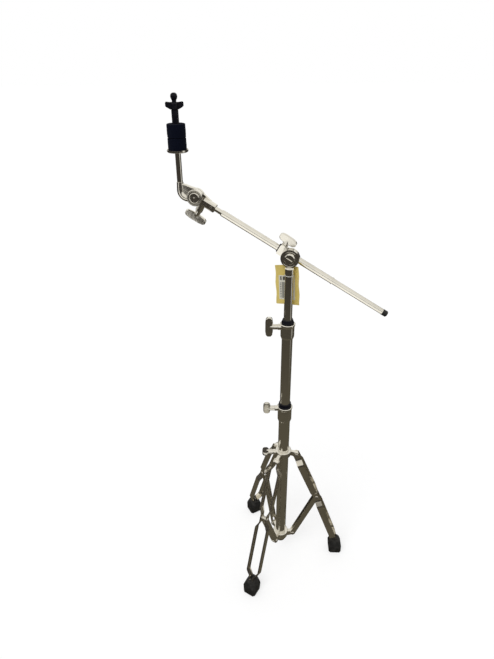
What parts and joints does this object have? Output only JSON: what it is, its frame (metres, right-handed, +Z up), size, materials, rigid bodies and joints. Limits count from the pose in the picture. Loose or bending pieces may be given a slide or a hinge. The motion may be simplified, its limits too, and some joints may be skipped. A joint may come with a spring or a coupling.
{
  "type": "cymbal boom stand",
  "caption": "Cymbal boom stand: folding double-braced tripod, telescoping clamped tubes, a boom that tilts, slides and rolls, and a tilting post with felts and wing nut for a cymbal.",
  "frame": {"origin": "on the floor, on the axis of the upright tubes", "axes": "+Z up along the upright tubes, +X out along leg 1; the boom heads 169.4 degrees from +X"},
  "size_m": [0.4728, 0.3268, 1.2485],
  "materials": {
    "chrome_tube": "polished",
    "chrome_casting": "polished",
    "chrome_strip": "polished",
    "plated_steel": "satin",
    "black_rubber": "matte",
    "black_plastic": "satin",
    "brass": "satin",
    "black_felt": "matte",
    "yellow_card": "matte",
    "white_label": "matte",
    "clear_tie": "satin"
  },
  "bodies": {
    "base": {"base_tube": "chrome_tube", "base_tube_plug": "black_plastic", "lower_hub": "chrome_casting", "lower_hub_pins": "plated_steel", "base_collar": "chrome_casting"},
    "base_swivel": {"base_bushing": "black_plastic"},
    "middle": {"middle_tube": "chrome_tube", "middle_collar": "chrome_casting"},
    "middle_swivel": {"middle_bushing": "black_plastic"},
    "upper": {"upper_tube": "chrome_tube", "boom_tilter_base": "chrome_casting", "hang_tag": "yellow_card", "tag_label": "white_label", "tag_tie": "clear_tie"},
    "boom_head": {"boom_tilter_head": "chrome_casting", "boom_friction_washer": "black_plastic", "boom_pivot_bolt": "chrome_casting"},
    "boom_swivel": {"boom_clamp_liner": "black_plastic"},
    "boom": {"boom_tube": "chrome_tube", "boom_back_rod": "chrome_tube", "boom_stop_ring": "chrome_tube", "boom_end_cap": "black_rubber", "boom_front_rod": "chrome_casting", "cymbal_tilter_socket": "chrome_casting", "socket_set_screw": "plated_steel", "cymbal_friction_washer": "black_plastic"},
    "cymbal_arm": {"cymbal_tilter_arm": "chrome_casting", "cymbal_pivot_bolt": "chrome_casting", "cymbal_post": "chrome_tube", "threaded_rod": "plated_steel", "cymbal_cup": "chrome_casting", "lower_felt": "black_felt", "cymbal_sleeve": "black_plastic"},
    "felt": {"upper_felt": "black_felt"},
    "nut_carrier": {"wing_nut_insert": "brass"},
    "cymbal_nut": {"cymbal_wing_nut": "black_plastic", "rod_cap": "black_plastic"},
    "base_clamp_screw": {"base_wing_bolt": "chrome_casting"},
    "middle_clamp_screw": {"middle_wing_bolt": "chrome_casting"},
    "hub_clamp_screw": {"hub_wing_bolt": "chrome_casting"},
    "boom_clamp_screw": {"boom_wing_bolt": "chrome_casting"},
    "cymbal_clamp_screw": {"cymbal_tilter_wing_bolt": "chrome_casting"},
    "upper_hub": {"upper_hub": "chrome_casting", "upper_hub_pins": "plated_steel"},
    "brace_1": {"brace_1": "chrome_strip"},
    "leg_1": {"leg_1_left_strip": "chrome_strip", "leg_1_right_strip": "chrome_strip", "leg_1_knee_pin": "plated_steel", "leg_1_foot": "black_rubber"},
    "brace_2": {"brace_2": "chrome_strip"},
    "leg_2": {"leg_2_left_strip": "chrome_strip", "leg_2_right_strip": "chrome_strip", "leg_2_knee_pin": "plated_steel", "leg_2_foot": "black_rubber"},
    "brace_3": {"brace_3": "chrome_strip"},
    "leg_3": {"leg_3_left_strip": "chrome_strip", "leg_3_right_strip": "chrome_strip", "leg_3_knee_pin": "plated_steel", "leg_3_foot": "black_rubber"}
  },
  "joints": [
    {"name": "base_turn", "type": "hinge", "parent": "base", "child": "base_swivel", "pos_m": [0, 0, 0.53], "axis": [0, 0, 1], "continuous": true},
    {"name": "middle_height", "type": "slide", "parent": "base_swivel", "child": "middle", "axis": [0, 0, 1], "range_m": [-0.175, 0.23]},
    {"name": "middle_turn", "type": "hinge", "parent": "middle", "child": "middle_swivel", "pos_m": [0, 0, 0.76], "axis": [0, 0, 1], "continuous": true},
    {"name": "upper_height", "type": "slide", "parent": "middle_swivel", "child": "upper", "axis": [0, 0, 1], "range_m": [-0.026, 0.22]},
    {"name": "boom_tilt", "type": "hinge", "parent": "upper", "child": "boom_head", "pos_m": [0, 0, 0.932], "axis": [0.184, 0.9829, 0], "range_deg": [-74, 35]},
    {"name": "boom_roll", "type": "hinge", "parent": "boom_head", "child": "boom_swivel", "pos_m": [0.00318, 0.0223, 0.93026], "axis": [-0.8572, 0.1604, 0.4894], "continuous": true},
    {"name": "boom_slide", "type": "slide", "parent": "boom_swivel", "child": "boom", "axis": [-0.8572, 0.1604, 0.4894], "range_m": [-0.14, 0.074]},
    {"name": "cymbal_tilt", "type": "hinge", "parent": "boom", "child": "cymbal_arm", "pos_m": [-0.20083, 0.06048, 1.04673], "axis": [0.184, 0.9829, 0], "range_deg": [-60, 90]},
    {"name": "felt_lift", "type": "slide", "parent": "cymbal_arm", "child": "felt", "axis": [0, 0, 1], "range_m": [0, 0.024]},
    {"name": "nut_lift", "type": "slide", "parent": "cymbal_arm", "child": "nut_carrier", "axis": [0, 0, 1], "range_m": [0, 0.06]},
    {"name": "nut_turn", "type": "hinge", "parent": "nut_carrier", "child": "cymbal_nut", "pos_m": [-0.23302, 0.06243, 1.22413], "axis": [0, 0, 1], "continuous": true},
    {"name": "base_screw_turn", "type": "hinge", "parent": "base", "child": "base_clamp_screw", "pos_m": [-0.0255, 0, 0.5315], "axis": [-1, 0, 0], "continuous": true},
    {"name": "middle_screw_turn", "type": "hinge", "parent": "middle", "child": "middle_clamp_screw", "pos_m": [-0.0225, 0, 0.7655], "axis": [-1, 0, 0], "continuous": true},
    {"name": "hub_screw_turn", "type": "hinge", "parent": "upper_hub", "child": "hub_clamp_screw", "pos_m": [-0.027, 0, 0.38519], "axis": [-1, 0, 0], "continuous": true},
    {"name": "boom_screw_turn", "type": "hinge", "parent": "boom_head", "child": "boom_clamp_screw", "pos_m": [-0.0098, 0.02473, 0.95372], "axis": [0.481, -0.09, 0.8721], "continuous": true},
    {"name": "cymbal_screw_turn", "type": "hinge", "parent": "boom", "child": "cymbal_clamp_screw", "pos_m": [-0.19776, 0.06946, 1.01443], "axis": [-0.481, 0.09, -0.8721], "continuous": true},
    {"name": "brace_1_swing", "type": "hinge", "parent": "base", "child": "brace_1", "pos_m": [0.035, 0, 0.072], "axis": [0, 1, 0], "range_deg": [-18, 20]},
    {"name": "leg_1_swing", "type": "hinge", "parent": "brace_1", "child": "leg_1", "pos_m": [0.09654, 0, 0.22509], "axis": [0, 1, 0], "range_deg": [-40, 36]},
    {"name": "brace_2_swing", "type": "hinge", "parent": "base", "child": "brace_2", "pos_m": [-0.0175, 0.03031, 0.072], "axis": [-0.866, -0.5, 0], "range_deg": [-18, 20]},
    {"name": "leg_2_swing", "type": "hinge", "parent": "brace_2", "child": "leg_2", "pos_m": [-0.04827, 0.08361, 0.22509], "axis": [-0.866, -0.5, 0], "range_deg": [-40, 36]},
    {"name": "brace_3_swing", "type": "hinge", "parent": "base", "child": "brace_3", "pos_m": [-0.0175, -0.03031, 0.072], "axis": [0.866, -0.5, 0], "range_deg": [-18, 20]},
    {"name": "leg_3_swing", "type": "hinge", "parent": "brace_3", "child": "leg_3", "pos_m": [-0.04827, -0.08361, 0.22509], "axis": [0.866, -0.5, 0], "range_deg": [-40, 36]},
    {"name": "hub_travel", "type": "hinge", "parent": "leg_1", "child": "upper_hub", "pos_m": [0.035, 0, 0.37819], "axis": [0, 1, 0], "range_deg": [-18, 20]}
  ],
  "couplings": [
    {"joint": "brace_2_swing", "follows": "brace_1_swing", "ratio": 1},
    {"joint": "brace_3_swing", "follows": "brace_1_swing", "ratio": 1},
    {"joint": "leg_1_swing", "follows": "brace_1_swing", "ratio": -2},
    {"joint": "leg_2_swing", "follows": "brace_1_swing", "ratio": -2},
    {"joint": "leg_3_swing", "follows": "brace_1_swing", "ratio": -2},
    {"joint": "hub_travel", "follows": "brace_1_swing", "ratio": 1}
  ]
}
